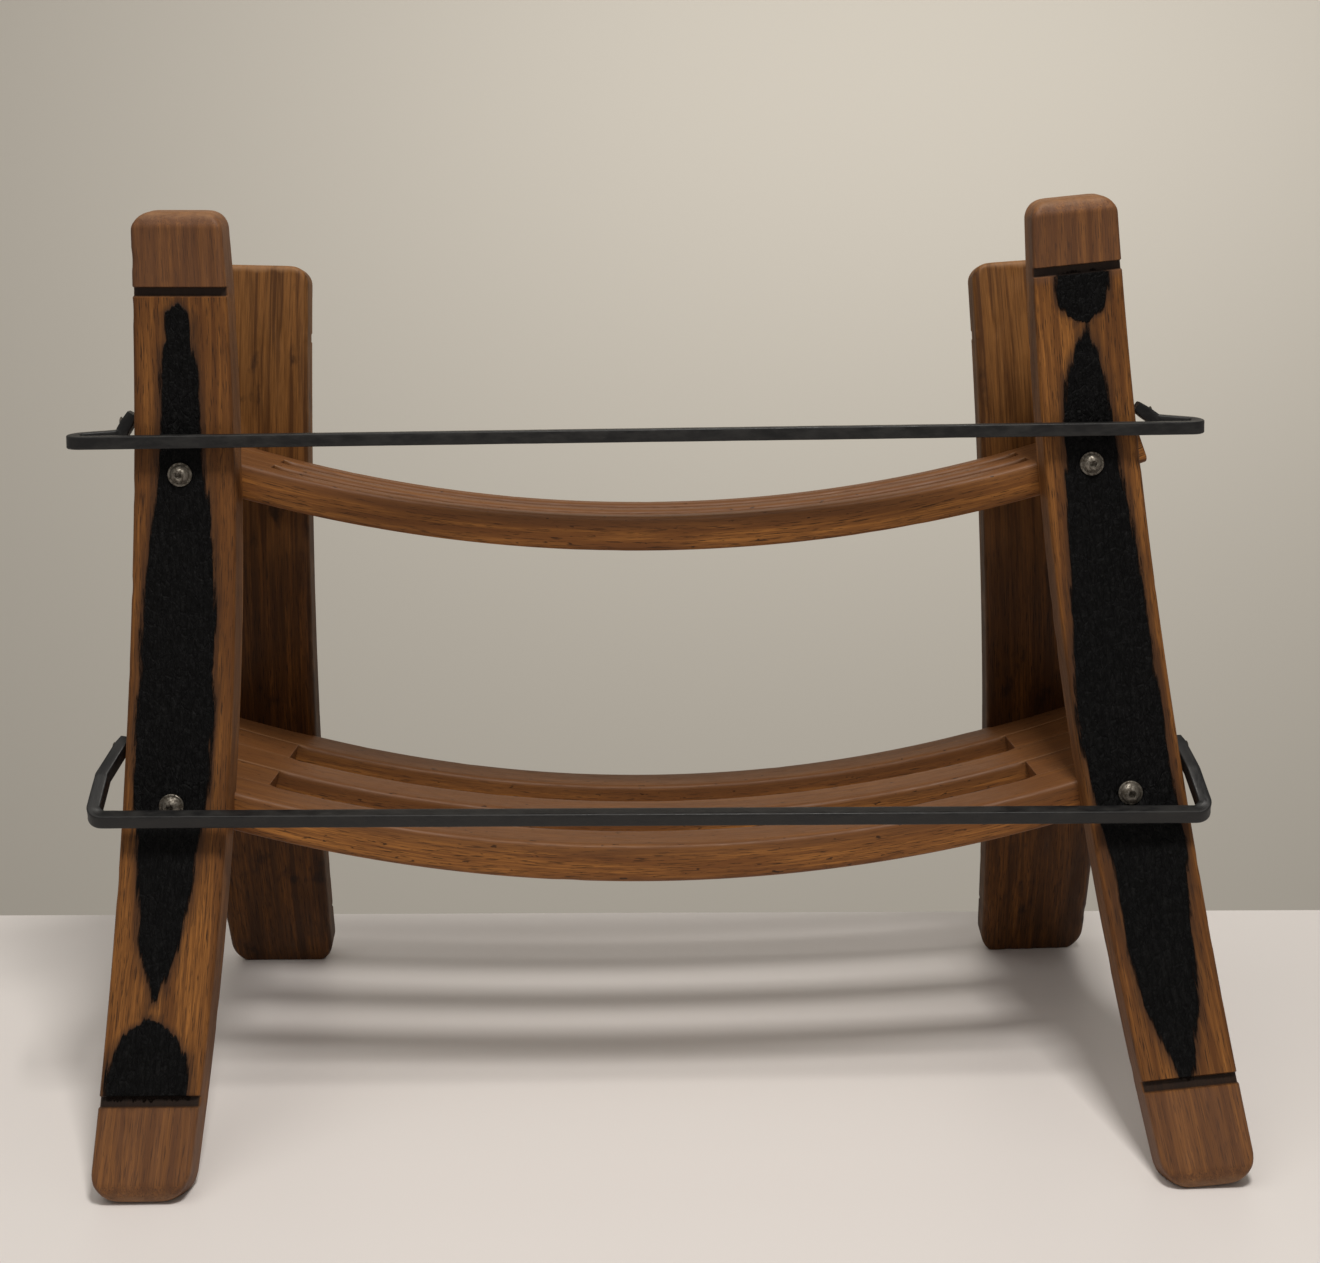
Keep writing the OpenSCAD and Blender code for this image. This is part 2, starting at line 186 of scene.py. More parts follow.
# The corners of each bar's middle line in mm. They repeat the CAD's, because the frame holds no path.
RAIL_PATHS = {
    "upper_rail": ((-385, -40.7, 521), (-391.5, -40.7, 510), (-452.5, -66, 507.7),
                   (446, -66, 511.2), (396, -40.7, 514), (385.4, -40.7, 521.5)),
    "lower_rail": ((-387.8, -71, 279.5), (-395, -92.2, 263.5), (-395.6, -115, 240.5),
                   (411.5, -115, 233.5), (408.5, -92.2, 258), (406.5, -70, 270)),
}
RAIL_UP = {"upper_rail": (0, 0, 1), "lower_rail": (0, -0.2, 1)}


# ---------------------------------------------------------------- meshes

def smooth(x):
    """Eases from 0 to 1 as x goes from 0 to 1."""
    x = np.clip(x, 0, 1)
    return x * x * (3 - 2 * x)


def waves(points, scales, seed):
    """Smooth noise from -1 to 1 at each point, with a scale in waves per mm for each axis."""
    scaled = points * np.array(scales) + NOISE_STEP * seed
    return np.array([noise.noise(Vector(p)) for p in scaled.reshape(-1, 3)]).reshape(points.shape[:-1])


def section(half_w, half_t, radii, n_w, n_t, n_corner):
    """Points round a rectangle with rounded corners, from its front left corner: (across, through)."""
    signs = ((-1, -1), (1, -1), (1, 1), (-1, 1))
    arcs = []
    for turn, (sign, r) in enumerate(zip(signs, radii)):
        angles = np.radians(180 + 90 * turn + np.linspace(0, 90, n_corner + 1))
        centre = np.array(sign) * (half_w - r, half_t - r)
        arcs.append(centre + r * np.stack([np.cos(angles), np.sin(angles)], 1))
    points = []
    for turn, arc in enumerate(arcs):
        count = n_t if turn % 2 else n_w
        run = np.linspace(arc[-1], arcs[(turn + 1) % 4][0], count + 2)[1:-1]
        points += [arc, run]
    return np.vstack(points)


def new_piece(name, mesh, replaced, material):
    """Puts a mesh in the scene as a piece that stands for CAD nodes."""
    piece = bpy.data.objects.new(name, mesh)
    bpy.context.scene.collection.objects.link(piece)
    mesh.materials.append(material)
    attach(piece, "root")
    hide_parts(*replaced)
    return piece


def skin(name, rings, attributes, sharp_angle=40):
    """Mesh over rings of points in mm, each ring joined to the next and both ends filled."""
    count, around = rings.shape[:2]
    start = np.arange(count - 1)[:, None] * around
    here = np.arange(around)[None, :]
    there = (here + 1) % around
    quads = np.stack([start + here, start + there, start + around + there, start + around + here], -1)
    faces = quads.reshape(-1, 4).tolist()
    last = (count - 1) * around
    faces += [list(range(around - 1, -1, -1)), list(range(last, last + around))]
    mesh = bpy.data.meshes.new(name)
    mesh.from_pydata((rings.reshape(-1, 3) * MM).tolist(), [], faces)
    for key, values in attributes.items():
        kind, field = ("FLOAT_VECTOR", "vector") if values.ndim == 3 else ("FLOAT", "value")
        layer = mesh.attributes.new(key, kind, "POINT")
        layer.data.foreach_set(field, values.astype(np.float32).ravel())
    cleaned = bmesh.new()
    cleaned.from_mesh(mesh)
    bmesh.ops.recalc_face_normals(cleaned, faces=cleaned.faces)
    cleaned.to_mesh(mesh)
    cleaned.free()
    mesh.shade_smooth()
    mesh.set_sharp_from_angle(angle=math.radians(sharp_angle))
    return mesh


def stations(half, spots, step, end_steps):
    """Places along a piece from -half to half: step apart, closer at both ends and at the given spots."""
    ends = [half - e for e in end_steps]
    inner = half - max(end_steps)
    run = np.linspace(-inner, inner, int(2 * inner / step))
    places = np.concatenate([run, ends, np.negative(ends), spots])
    return np.unique(np.round(places, 2))


def ring_at(ring, along):
    """A ring of (across, through) points as (across, through, along) points."""
    return np.column_stack([ring, np.full(len(ring), along)])


def with_caps(rings, shrink=(0.85, 0.6, 0.3, 0.05)):
    """Adds ever smaller rings at both ends so that the end faces are built of small faces."""
    def cap(ring):
        centre = ring.mean(0)
        return [centre + k * (ring - centre) for k in shrink]
    return np.array(cap(rings[0])[::-1] + list(rings) + cap(rings[-1]))


def cad_points(node):
    """A CAD node's vertices in mm."""
    return np.array([v.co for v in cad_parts[node].data.vertices]) / MM


def cad_solids(node):
    """(lowest, highest) corner in mm of each separate solid in a CAD node, from left to right."""
    joined = bmesh.new()
    joined.from_mesh(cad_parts[node].data)
    bmesh.ops.remove_doubles(joined, verts=joined.verts, dist=1e-6)
    left, boxes = set(joined.verts), []
    while left:
        grown, edge = set(), [left.pop()]
        while edge:
            vert = edge.pop()
            grown.add(vert)
            near = {e.other_vert(vert) for e in vert.link_edges} & left
            left -= near
            edge += near
        points = np.array([v.co for v in grown]) / MM
        boxes.append((points.min(0), points.max(0)))
    joined.free()
    return sorted(boxes, key=lambda box: (box[0][0], box[0][2]))


# ---------------------------------------------------------------- staves

def croze_profile(s, at):
    """1 inside the croze groove round a place along the stave, falling to 0 at its two walls."""
    return smooth((CROZE_H / 2 + 0.5 - np.abs(s - at)) / 1.0)


def burnt(stave, s, u):
    """How many mm inside a burnt patch each point of the croze face is; negative outside."""
    inside = np.full(s.shape, -40.0)
    for patch in stave.patches:
        at, left, right = np.array(patch.stations).T
        edge = np.minimum(u - np.interp(s, at, left), np.interp(s, at, right) - u)
        beyond = np.maximum(at[0] - s, s - at[-1])
        inside = np.maximum(inside, np.where(beyond > 0, np.minimum(edge, -beyond), edge))
    return inside


def rounding(end, radius):
    """How far a quarter circle draws a side in, this far from the end."""
    return radius - math.sqrt(radius ** 2 - (radius - min(max(end, 0), radius)) ** 2)


def stave_rings(stave):
    """(rings of (across, through, along) points, croze depth 0-1, distance from the nearer end)."""
    half = stave.length / 2
    crozes = (half - stave.croze_top, stave.croze_foot - half)
    walls = [at + side * (CROZE_H / 2 + off) for at in crozes for side in (-1, 1) for off in (-0.6, 0, 0.6)]
    s = stations(half, walls, STAVE_STEP, STAVE_END_STEPS)
    reach = (STAVE_R + STAVE_T / 2) * math.sin(half / STAVE_R)
    rings = []
    foot_r = FRONT_FOOT_CORNER_R if stave.is_front else REAR_FOOT_CORNER_R
    for at in s:
        end = half - abs(at)
        share = STAVE_R * math.sin(at / STAVE_R) / reach
        half_w = stave.width / 2 * (1 - (1 - stave.taper) * share ** 2)
        half_w -= rounding(end, TOP_CORNER_R if at > 0 else foot_r)
        half_t = STAVE_T / 2 - rounding(end, END_R)
        edge = min(FRONT_EDGE_R if stave.is_front else REAR_EDGE_R, half_t * 0.8)
        radii = (edge, edge, edge * 0.8, edge * 0.8)
        rings.append(ring_at(section(half_w, half_t, radii, n_w=30, n_t=8, n_corner=4), at))
    rings = with_caps(np.array(rings))
    along = rings[..., 2]
    end = half - np.abs(along)
    croze = sum(croze_profile(along, at) for at in crozes)
    depth = CROZE_DEPTH * croze + CHIME_DEPTH * np.clip(1 - end / CHIME_H, 0, 1) ** 1.15
    rings[..., 1] = STAVE_T / 2 - (STAVE_T / 2 - rings[..., 1]) * (1 - depth / STAVE_T)
    return rings, croze, end


def worn(rings, seed, amounts, half_t):
    """Pulls each ring's points in by smooth noise, so that the piece stays in its CAD box."""
    sway = 0.5 + 0.5 * waves(rings, (0.02, 0.02, 0.006), seed)
    dents = np.clip(waves(rings, (0.1, 0.1, 0.045), seed + 30) - 0.25, 0, 1)
    corner = smooth(np.abs(rings[..., 1]) / half_t * 2 - 1)
    moved = rings.copy()
    moved[..., 0] *= 1 - amounts[0] * sway - amounts[2] * dents * corner
    moved[..., 1] *= 1 - amounts[1] * sway - 2 * amounts[2] * dents * corner
    return moved


def stave_to_frame(stave, rings):
    """Bends (across, through, along) points to the barrel's curve and stands them where the CAD leg is."""
    angle = rings[..., 2] / STAVE_R
    radius = STAVE_R + rings[..., 1]
    out = 1 if stave.is_front else -1
    bent = np.stack([rings[..., 0], out * (radius * np.cos(angle) - STAVE_R), radius * np.sin(angle)], -1)
    stance = Matrix.Rotation(math.radians(stave.lean), 3, "Y") @ Matrix.Rotation(
        math.radians(-out * stave.tilt), 3, "X")
    turn = np.array(stance)
    local = cad_points(stave.node) @ turn
    top = (STAVE_R + STAVE_T / 2) * math.sin(stave.length / 2 / STAVE_R)
    outer_y = local[:, 1].max() - STAVE_T / 2 if stave.is_front else local[:, 1].min() + STAVE_T / 2
    origin = np.array([(local[:, 0].min() + local[:, 0].max()) / 2, outer_y, local[:, 2].max() - top])
    return (bent + origin) @ turn.T


def seat(points, node_of_leg, is_front):
    """Flattens the wood under each washer, and keeps the leg to its CAD box, which cuts the foot's flat."""
    node = "head_washers" if is_front else "nut_washers"
    for low, high in cad_solids(node):
        middle = (low + high) / 2
        near = np.hypot(points[..., 0] - middle[0], points[..., 2] - middle[2]) < WASHER_SEAT_R
        outside = points[..., 1] < high[1] if is_front else points[..., 1] > low[1]
        points[..., 1] = np.where(near & outside, high[1] if is_front else low[1], points[..., 1])
    low, high = (np.array(corner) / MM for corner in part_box(node_of_leg))
    return np.clip(points, low, high)


def make_stave(stave, material):
    rings, croze, end = stave_rings(stave)
    half_t = STAVE_T / 2
    grooved = croze * smooth(CROZE_DEPTH + 2.2 - half_t - rings[..., 1])
    grain = rings * MM
    grain[..., 2] += stave.seed * STAVE_GRAIN_STEP
    char = burnt(stave, rings[..., 2], rings[..., 0]) - 3 * np.maximum(rings[..., 1] + half_t - 5, 0)
    corner = smooth((np.abs(rings[..., 0]) / (np.abs(rings[..., 0]).max(1, keepdims=True)) - 0.9) * 10)
    # Pale rims at the ends and, at half strength, along the side edges: partly wear, partly a painted
    # highlight on the bevels and rounded edges
    rim = np.maximum(smooth(1 - end / RIM_FADE), 0.5 * corner)
    points = stave_to_frame(stave, worn(rings, stave.seed, STAVE_WEAR, half_t))
    points = seat(points, stave.node, stave.is_front)
    attributes = {
        "grain": grain, "char": char, "croze": grooved, "rim": rim,
        "chime": smooth((RED_END_H - end) / RED_END_FADE),
        # 1 on the rear legs' upper part, which their material paints lighter: painted light there, painted
        # shade below the upper shelf
        "upper": smooth((rings[..., 2] - LIT_UPPER_FROM) / LIT_UPPER_FADE),
    }
    mesh = skin(f"worn_{stave.node}", points, attributes, 55)
    return new_piece(f"worn_{stave.node}", mesh, [stave.node], material)


# ---------------------------------------------------------------- shelves

def shelf_to_frame(rings, low, high):
    """Bends (across, up, along) points to the shelf's curve, in the CAD piece's box across Y."""
    angle = rings[..., 2] / SLAT_R
    radius = SLAT_R - rings[..., 1]
    return radius * np.sin(angle), rings[..., 0] + (low[1] + high[1]) / 2, -radius * np.cos(angle)


def make_slat(node, seams, material, seed):
    """A curved slat. seams says whether the front and the back edge meet spacers beyond the slots' ends."""
    low, high = (np.array(corner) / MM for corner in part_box(node))
    width, middle = high[1] - low[1], (low[0] + high[0]) / 2
    thick = slat_thickness(low, high)
    half = SLAT_R * math.asin((high[0] - middle) / (SLAT_R + thick / 2))
    s = stations(half, (), SLAT_STEP, SLAT_END_STEPS)
    rings = []
    for at in s:
        end = half - abs(at)
        inset = rounding(end, SLAT_END_R)
        seam = smooth((abs(at) - SLOT_REACH + SEAM_FADE / 2) / SEAM_FADE)
        edge = [SLAT_EDGE_R + (SEAM_EDGE_R - SLAT_EDGE_R) * seam * meets for meets in seams]
        radii = (edge[0], edge[1], edge[1], edge[0])
        ring = section(width / 2 - inset, thick / 2 - inset, radii, n_w=6, n_t=8, n_corner=4)
        rings.append(ring_at(ring, at))
    rings = with_caps(np.array(rings))
    grain = rings * MM
    grain[..., 2] += seed * SLAT_GRAIN_STEP
    end = half - np.abs(rings[..., 2])
    moved = worn(rings, seed, SLAT_WEAR, thick / 2)
    x, y, z = shelf_to_frame(moved, low, high)
    points = np.stack([x + middle, y, z + low[2] + SLAT_R + thick / 2], -1)
    attributes = {
        "grain": grain, "top": smooth(rings[..., 1] / thick * 2.2), "end_grain": smooth(1.2 - end / 1.2),
        "rim": smooth(np.abs(rings[..., 1]) / thick * 8 - 3) * smooth(np.abs(rings[..., 0]) / width * 8 - 3),
    }
    mesh = skin(f"worn_{node}", points, attributes)
    return new_piece(f"worn_{node}", mesh, [node], material)


def slat_thickness(low, high):
    """Thickness of a curved slat from its box: what its height leaves after the curve's rise."""
    reach, height = (high[0] - low[0]) / 2, high[2] - low[2]
    thick = 28.0
    for _ in range(30):
        outer, inner = SLAT_R + thick / 2, SLAT_R - thick / 2
        turn = math.asin(reach / outer)
        thick = height - (outer - inner * math.cos(turn)) + thick
    return thick


def make_spacer(node, material, seed):
    """Block that fills a slot beyond its end, a hair thinner than the slats."""
    low, high = (np.array(corner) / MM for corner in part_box(node))
    shelf = node.split("_")[0]
    slat_low, slat_high = (np.array(corner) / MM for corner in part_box(f"{shelf}_middle_slat"))
    middle, thick = (slat_low[0] + slat_high[0]) / 2, slat_thickness(slat_low, slat_high)
    sign = 1 if low[0] > middle else -1
    inner, outer = SLAT_R - thick / 2, SLAT_R + thick / 2
    near, far = (low[0], high[0]) if sign > 0 else (high[0], low[0])
    from_s = SLAT_R * math.asin(abs(near - middle) / inner)
    to_s = SLAT_R * math.asin(abs(far - middle) / outer)
    half = (to_s - from_s) / 2
    s = stations(half, (), SPACER_STEP, SPACER_END_STEPS)
    rings = []
    for at in s:
        end = half - abs(at)
        inset = rounding(end, SEAM_EDGE_R)
        half_w, half_t = (high[1] - low[1]) / 2 - inset, thick / 2 - SPACER_PLAY - inset
        rings.append(ring_at(section(half_w, half_t, [SEAM_EDGE_R] * 4, n_w=5, n_t=8, n_corner=2), at))
    rings = with_caps(np.array(rings))
    grain = rings * MM
    grain[..., 2] += seed * SPACER_GRAIN_STEP
    end = half - np.abs(rings[..., 2])
    moved = rings.copy()
    moved[..., 2] = sign * ((from_s + to_s) / 2 + rings[..., 2])
    x, y, z = shelf_to_frame(moved, low, high)
    points = np.stack([x + middle, y, z + slat_low[2] + SLAT_R + thick / 2], -1)
    flat = np.zeros(rings.shape[:2])
    attributes = {"grain": grain, "top": smooth(rings[..., 1] / thick * 2.2),
                  "end_grain": smooth(1.2 - end / 0.8), "rim": flat}
    mesh = skin(f"worn_{node}", points, attributes)
    return new_piece(f"worn_{node}", mesh, [node], material)


# ---------------------------------------------------------------- rails

def unit(v):
    return v / np.linalg.norm(v)


def rounded_corner(a, b, c, steps=10):
    """Points of the arc that rounds corner b of the line a, b, c."""
    to_a, to_c = unit(a - b), unit(c - b)
    half = math.acos(to_a @ to_c) / 2
    centre = b + unit(to_a + to_c) * BEND_R / math.sin(half)
    start, stop = (unit(b + way * BEND_R / math.tan(half) - centre) for way in (to_a, to_c))
    turn = math.acos(start @ stop)
    shares = np.linspace(0, 1, steps + 1)[:, None]
    ways = np.sin(turn * (1 - shares)) * start + np.sin(turn * shares) * stop
    return centre + BEND_R * ways / math.sin(turn)


def rail_line(path):
    """The bar's middle line with rounded corners, its ends carried past the screws, in short steps."""
    first = path[0] + RAIL_END * unit(path[0] - path[1])
    last = path[-1] + RAIL_END * unit(path[-1] - path[-2])
    line = [first[None]]
    for i in range(1, len(path) - 1):
        line.append(rounded_corner(path[i - 1], path[i], path[i + 1]))
    line = np.vstack(line + [last[None]])
    fine = [line[:1]]
    for a, b in zip(line[:-1], line[1:]):
        count = max(1, int(np.linalg.norm(b - a) / RAIL_STEP))
        fine.append(a + (b - a) * (np.arange(1, count + 1) / count)[:, None])
    return np.vstack(fine)


def make_rail(node, material, seed):
    """A square bar with softened edges and the slight unevenness of forged black iron."""
    line = rail_line(np.array(RAIL_PATHS[node], float))
    up = np.array(RAIL_UP[node], float)
    far = np.concatenate([[0], np.cumsum(np.linalg.norm(np.diff(line, axis=0), axis=1))])
    rings, grain = [], []
    for i, point in enumerate(line):
        ahead = unit(line[min(i + 1, len(line) - 1)] - line[max(i - 1, 0)])
        side = unit(np.cross(ahead, up))
        top = np.cross(side, ahead)
        inset = RAIL_END_BEVEL if i in (0, len(line) - 1) else 0
        half = BAR_W / 2 - inset
        ring = section(half, half, [BAR_EDGE_R] * 4, n_w=3, n_t=3, n_corner=3)
        slow = 1 + noise.noise(Vector((far[i] * 0.03, seed, 0)))
        quick = 1 + noise.noise(Vector((far[i] * 0.15, seed, 5)))
        dent = 1 - 0.02 * slow - 0.012 * quick
        rings.append(point + dent * (ring[:, :1] * side + ring[:, 1:] * top))
        grain.append(ring_at(ring, far[i]) * MM)
    rings, grain = with_caps(np.array(rings)), with_caps(np.array(grain))
    low, high = (np.array(corner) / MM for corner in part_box(node))
    rings += (low + high) / 2 - (rings.min((0, 1)) + rings.max((0, 1))) / 2
    mesh = skin(f"forged_{node}", rings, {"grain": grain})
    return new_piece(f"forged_{node}", mesh, [node], material)


# ---------------------------------------------------------------- fasteners

AROUND = 60
ANGLES = np.linspace(0, 2 * math.pi, AROUND, endpoint=False)
HEX = 1 / np.cos((ANGLES + math.pi / 6) % (math.pi / 3) - math.pi / 6)


def turned(profile):
    """Rings about +Y from (along, radius) pairs; a radius may be one number or one for each angle."""
    rings = []
    for along, radius in profile:
        radius = np.broadcast_to(radius, ANGLES.shape)
        across, up = radius * np.cos(ANGLES), -radius * np.sin(ANGLES)
        rings.append(np.column_stack([across, np.full(AROUND, along), up]))
    return np.array(rings)


def arc_profile(height, radius, rim, steps=8):
    """(along, radius) pairs over a dome, from its rim at 0 to where it is rim wide, with -Y outwards."""
    ball = (radius ** 2 + height ** 2) / 2 / height
    radii = radius + (rim - radius) * np.linspace(0, 1, steps)
    return [(-(math.sqrt(ball ** 2 - r ** 2) - ball + height), r) for r in radii]


def bolt_rings(length):
    """Domed socket-head bolt, its head's underside at 0, its threaded tip at length."""
    socket = SOCKET_FLATS / 2 * HEX
    dome = arc_profile(HEAD_H - HEAD_RIM, HEAD_D / 2 - 0.2, SOCKET_FLATS / 2 * 1.3)
    crown = dome[-1][0] - HEAD_RIM
    floor = crown + SOCKET_DEPTH
    head = [(0, BOLT_D / 2), (0, HEAD_D / 2 - 0.4), (-0.2, HEAD_D / 2)]
    head += [(a - HEAD_RIM, r) for a, r in dome]
    recess = [(crown + 0.25, socket * 0.98), (floor - 0.4, socket * 0.96), (floor, 1.2), (floor, 0.1)]
    shank_r = BOLT_D / 2 - SHANK_PLAY
    threads = []
    for along in np.arange(length - THREAD_LEN, length - THREAD_RUNOUT, THREAD_STEP):
        phase = (along / THREAD_PITCH - ANGLES / 2 / math.pi) % 1
        threads.append((along, shank_r - THREAD_DEPTH * (1 - np.abs(2 * phase - 1))))
    tip = [(length, BOLT_D / 2 - 1), (length, 0.1)]
    shank = [(2, shank_r), (length - THREAD_LEN - 1, shank_r)]
    return turned(recess[::-1] + head[::-1] + shank + threads + tip)


def washer_rings(outer, inner, thick):
    """Flat washer with a rolled edge, as one skin that runs out, round and back through its hole."""
    soft = WASHER_SOFT
    near_face = [(soft, inner), (0, inner + soft), (0, outer - soft), (soft, outer)]
    far_face = [(thick - along, radius) for along, radius in near_face[::-1]]
    return turned([(thick / 2, inner)] + near_face + far_face + [(thick / 2, inner)])


def nut_rings(across, hole, height):
    """Hexagon nut with its corners turned down at both faces."""
    flats = across / 2 * math.cos(math.pi / 6) * HEX
    cut_corners = np.minimum(flats, across / 2 * 0.985)
    near_face = [(HOLE_BEVEL, hole), (0, hole + HOLE_BEVEL), (0, flats.min() * 0.97)]
    near_face.append((NUT_BEVEL, cut_corners))
    far_face = [(height - along, radius) for along, radius in near_face[::-1]]
    return turned([(height / 2, hole)] + near_face + [(height / 2, flats)] + far_face + [(height / 2, hole)])


def screw_rings(length, d):
    """Countersunk screw along +Y with a socket in its flat head."""
    socket = d * 0.42 * HEX
    return turned([(1.6, 0.1), (1.6, socket * 0.9), (0.1, socket), (0, d * 0.6), (0, d - 0.2), (0.15, d),
                   (d / 2, d / 2), (length - SCREW_TIP, d / 2), (length, 0.3)])


def join_rings(name, parts, replaced, material):
    """One piece from several turned shapes."""
    joined = bmesh.new()
    for i, rings in enumerate(parts):
        grain = rings * MM + i * FASTENER_GRAIN_STEP
        mesh = skin(name, rings, {"grain": grain}, 30)
        joined.from_mesh(mesh)
        bpy.data.meshes.remove(mesh)
    whole = bpy.data.meshes.new(name)
    joined.to_mesh(whole)
    joined.free()
    return new_piece(name, whole, replaced, material)


def spun(rings, degrees):
    """Rings turned about their own +Y axis."""
    return rings @ np.array(Matrix.Rotation(math.radians(degrees), 3, "Y")).T


def placed_on(node, make, spin_step):
    """Turned shapes at each solid of a CAD node, each spun on from the one before as a spanner left it."""
    parts = []
    for i, (low, high) in enumerate(cad_solids(node)):
        at = np.array([(low[0] + high[0]) / 2, low[1], (low[2] + high[2]) / 2])
        parts.append(spun(make(low, high), spin_step * i) + at)
    return parts


def bolt_between(low, high):
    """The bolt for a CAD bolt's corners."""
    return bolt_rings(high[1] - low[1] - HEAD_H) + (0, HEAD_H, 0)


def washer_between(low, high):
    """The washer for a CAD washer's corners."""
    return washer_rings((high[0] - low[0]) / 2, BOLT_D / 2 + WASHER_PLAY, high[1] - low[1])


def nut_between(low, high):
    """The nut for a CAD nut's corners."""
    return nut_rings(NUT_ACROSS, BOLT_D / 2 - NUT_BITE, high[1] - low[1])


def make_fasteners(material):
    for node in ("upper_bolts", "lower_bolts"):
        parts = placed_on(node, bolt_between, BOLT_SPIN)
        join_rings(f"domed_{node}", parts, [node], material)
    for node in ("head_washers", "nut_washers"):
        parts = placed_on(node, washer_between, WASHER_SPIN)
        join_rings(f"rolled_{node}", parts, [node], material)
    nuts = placed_on("nuts", nut_between, NUT_SPIN)
    join_rings("chamfered_nuts", nuts, ["nuts"], material)
    screws = []
    for low, high in cad_solids("rail_screws"):
        middle, side = (low + high) / 2, -1 if low[0] < 0 else 1
        turn = np.array(Matrix.Rotation(math.radians(90 * side), 3, "Z"))
        rings = screw_rings(high[0] - low[0], SCREW_D) @ turn.T
        screws.append(rings + (low[0] if side < 0 else high[0], middle[1], middle[2]))
    join_rings("socket_rail_screws", screws, ["rail_screws"], material)


# ---------------------------------------------------------------- materials

class Tree:
    """Adds nodes to a new material and hands back their outputs."""

    def __init__(self, name):
        self.material = bpy.data.materials.new(name)
        self.material.use_nodes = True
        self.nodes = self.material.node_tree.nodes
        self.links = self.material.node_tree.links
        self.shader = self.nodes["Principled BSDF"]

    def put(self, socket, value):
        if isinstance(value, bpy.types.NodeSocket):
            self.links.new(value, socket)
        elif isinstance(value, tuple) and len(value) == 3 and len(socket.default_value) == 4:
            socket.default_value = (*value, 1)
        else:
            socket.default_value = value

    def attribute(self, name, output="Fac"):
        node = self.nodes.new("ShaderNodeAttribute")
        node.attribute_name = name
        return node.outputs[output]

    def stretch(self, vector, scales):
        node = self.nodes.new("ShaderNodeVectorMath")
        node.operation = "MULTIPLY"
        self.put(node.inputs[0], vector)
        node.inputs[1].default_value = scales
        return node.outputs[0]

    def noise(self, vector, scales, detail=3.0, roughness=0.55, distortion=0.0):
        node = self.nodes.new("ShaderNodeTexNoise")
        self.put(node.inputs["Vector"], self.stretch(vector, scales))
        node.inputs["Scale"].default_value = 1
        node.inputs["Detail"].default_value = detail
        node.inputs["Roughness"].default_value = roughness
        node.inputs["Distortion"].default_value = distortion
        return node.outputs["Fac"]

    def cells(self, vector, scales):
        node = self.nodes.new("ShaderNodeTexVoronoi")
        node.feature = "DISTANCE_TO_EDGE"
        self.put(node.inputs["Vector"], self.stretch(vector, scales))
        node.inputs["Scale"].default_value = 1
        return node.outputs["Distance"]

    def math(self, operation, a, b):
        node = self.nodes.new("ShaderNodeMath")
        node.operation = operation
        self.put(node.inputs[0], a)
        self.put(node.inputs[1], b)
        return node.outputs[0]

    def between(self, value, low, high, to_low=0.0, to_high=1.0):
        node = self.nodes.new("ShaderNodeMapRange")
        node.interpolation_type = "SMOOTHSTEP"
        self.put(node.inputs["Value"], value)
        for key, number in (("From Min", low), ("From Max", high), ("To Min", to_low), ("To Max", to_high)):
            node.inputs[key].default_value = number
        return node.outputs["Result"]

    def blend(self, factor, a, b, mode="MIX"):
        node = self.nodes.new("ShaderNodeMix")
        node.data_type = "RGBA"
        node.blend_type = mode
        self.put(node.inputs[0], factor)
        self.put(node.inputs[6], a)
        self.put(node.inputs[7], b)
        return node.outputs[2]

    def bump(self, height, distance, strength=1.0, normal=None):
        node = self.nodes.new("ShaderNodeBump")
        self.put(node.inputs["Height"], height)
        node.inputs["Distance"].default_value = distance
        node.inputs["Strength"].default_value = strength
        if normal is not None:
            self.put(node.inputs["Normal"], normal)
        return node.outputs["Normal"]


class Palette(NamedTuple):
    light: tuple
    dark: tuple
    pore: tuple
    # Paler rim colour: wear, and on the staves partly a painted highlight
    worn: tuple


GOLDEN = Palette((0.3, 0.12, 0.026), (0.095, 0.034, 0.008), (0.02, 0.008, 0.003), (0.27, 0.145, 0.07))
UMBER = Palette((0.16, 0.058, 0.01), (0.042, 0.014, 0.002), (0.009, 0.003, 0.001), (0.24, 0.12, 0.05))
# Lighter colours for the rear legs' upper part: painted light
UMBER_LIT_TOP = ((0.07, 0.026, 0.006), (0.25, 0.105, 0.026))
ORANGE = Palette((0.37, 0.15, 0.034), (0.14, 0.05, 0.013), (0.02, 0.008, 0.003), (0.3, 0.16, 0.07))
PINK_TOP = (0.11, 0.053, 0.024)
RED_LIGHT = (0.155, 0.076, 0.043)
RED_DARK = (0.07, 0.03, 0.016)
CHAR_BLACK = (0.0015, 0.0015, 0.0017)
CHAR_GREY = (0.007, 0.007, 0.0072)
IRON_DARK = (0.006, 0.006, 0.0065)
IRON_LIGHT = (0.016, 0.0155, 0.015)
STEEL_DIRT = (0.05, 0.04, 0.028)
STEEL_BARE = (0.24, 0.22, 0.19)
SCORCH = (0.03, 0.013, 0.006)
# Colour inside the croze grooves
CROZE_DARK = (0.012, 0.007, 0.005)


